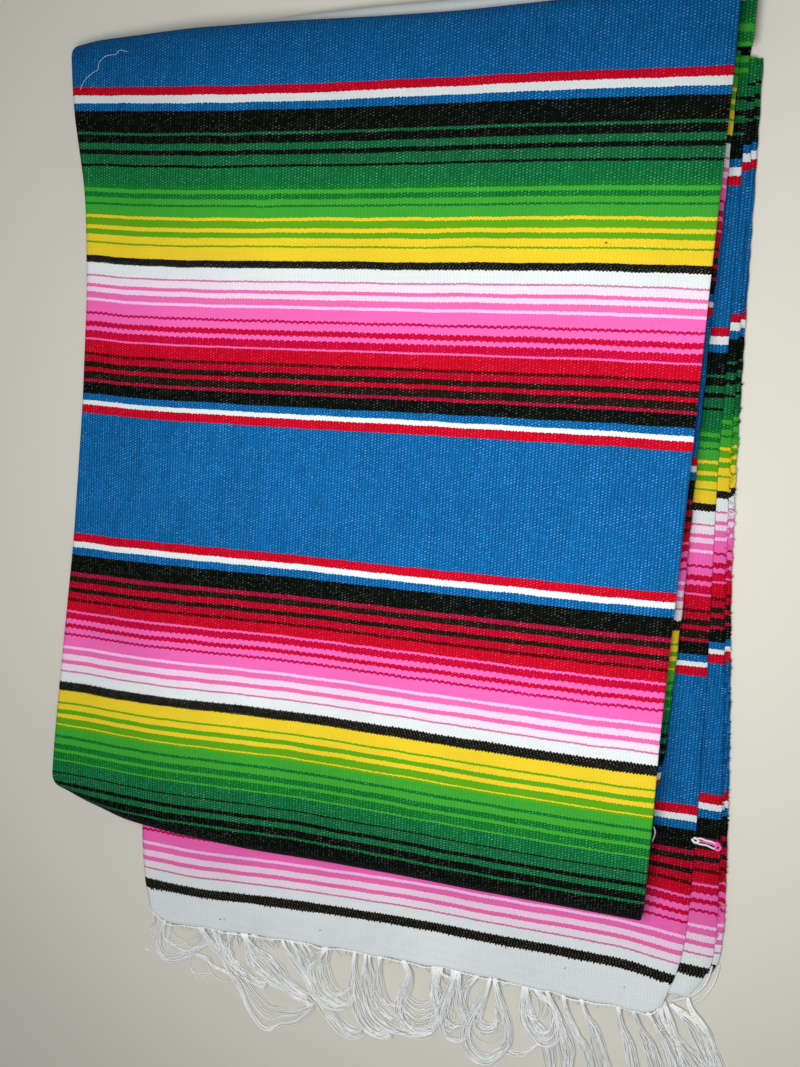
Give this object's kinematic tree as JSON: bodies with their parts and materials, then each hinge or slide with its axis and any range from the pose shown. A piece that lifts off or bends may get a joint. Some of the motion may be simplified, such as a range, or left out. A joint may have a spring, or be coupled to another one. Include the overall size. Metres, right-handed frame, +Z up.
{
  "type": "folded serape blanket",
  "caption": "Striped woven serape blanket with a yarn fringe, folded lengthwise and in a zigzag, lying flat.",
  "frame": {"origin": "on the surface it rests on, under the middle of the bounding box", "axes": "+Z up, -Y towards the fringed hem, +X along the stripes to the side where the end layers show"},
  "size_m": [0.4464, 0.6822, 0.0368],
  "materials": {
    "striped_cloth": "weft-faced ribbed weave in blue, black, green, yellow, white, pink and red stripes",
    "fringe_yarn": "loose white warp yarn"
  },
  "bodies": {
    "root": {"top_panel": "striped_cloth", "turned_panel": "striped_cloth", "lower_panel": "striped_cloth", "second_end_layer": "striped_cloth", "third_end_layer": "striped_cloth", "back_fold": "striped_cloth", "inner_layers": "striped_cloth", "hem_fringe": "fringe_yarn", "end_fringe": "fringe_yarn"}
  },
  "joints": []
}
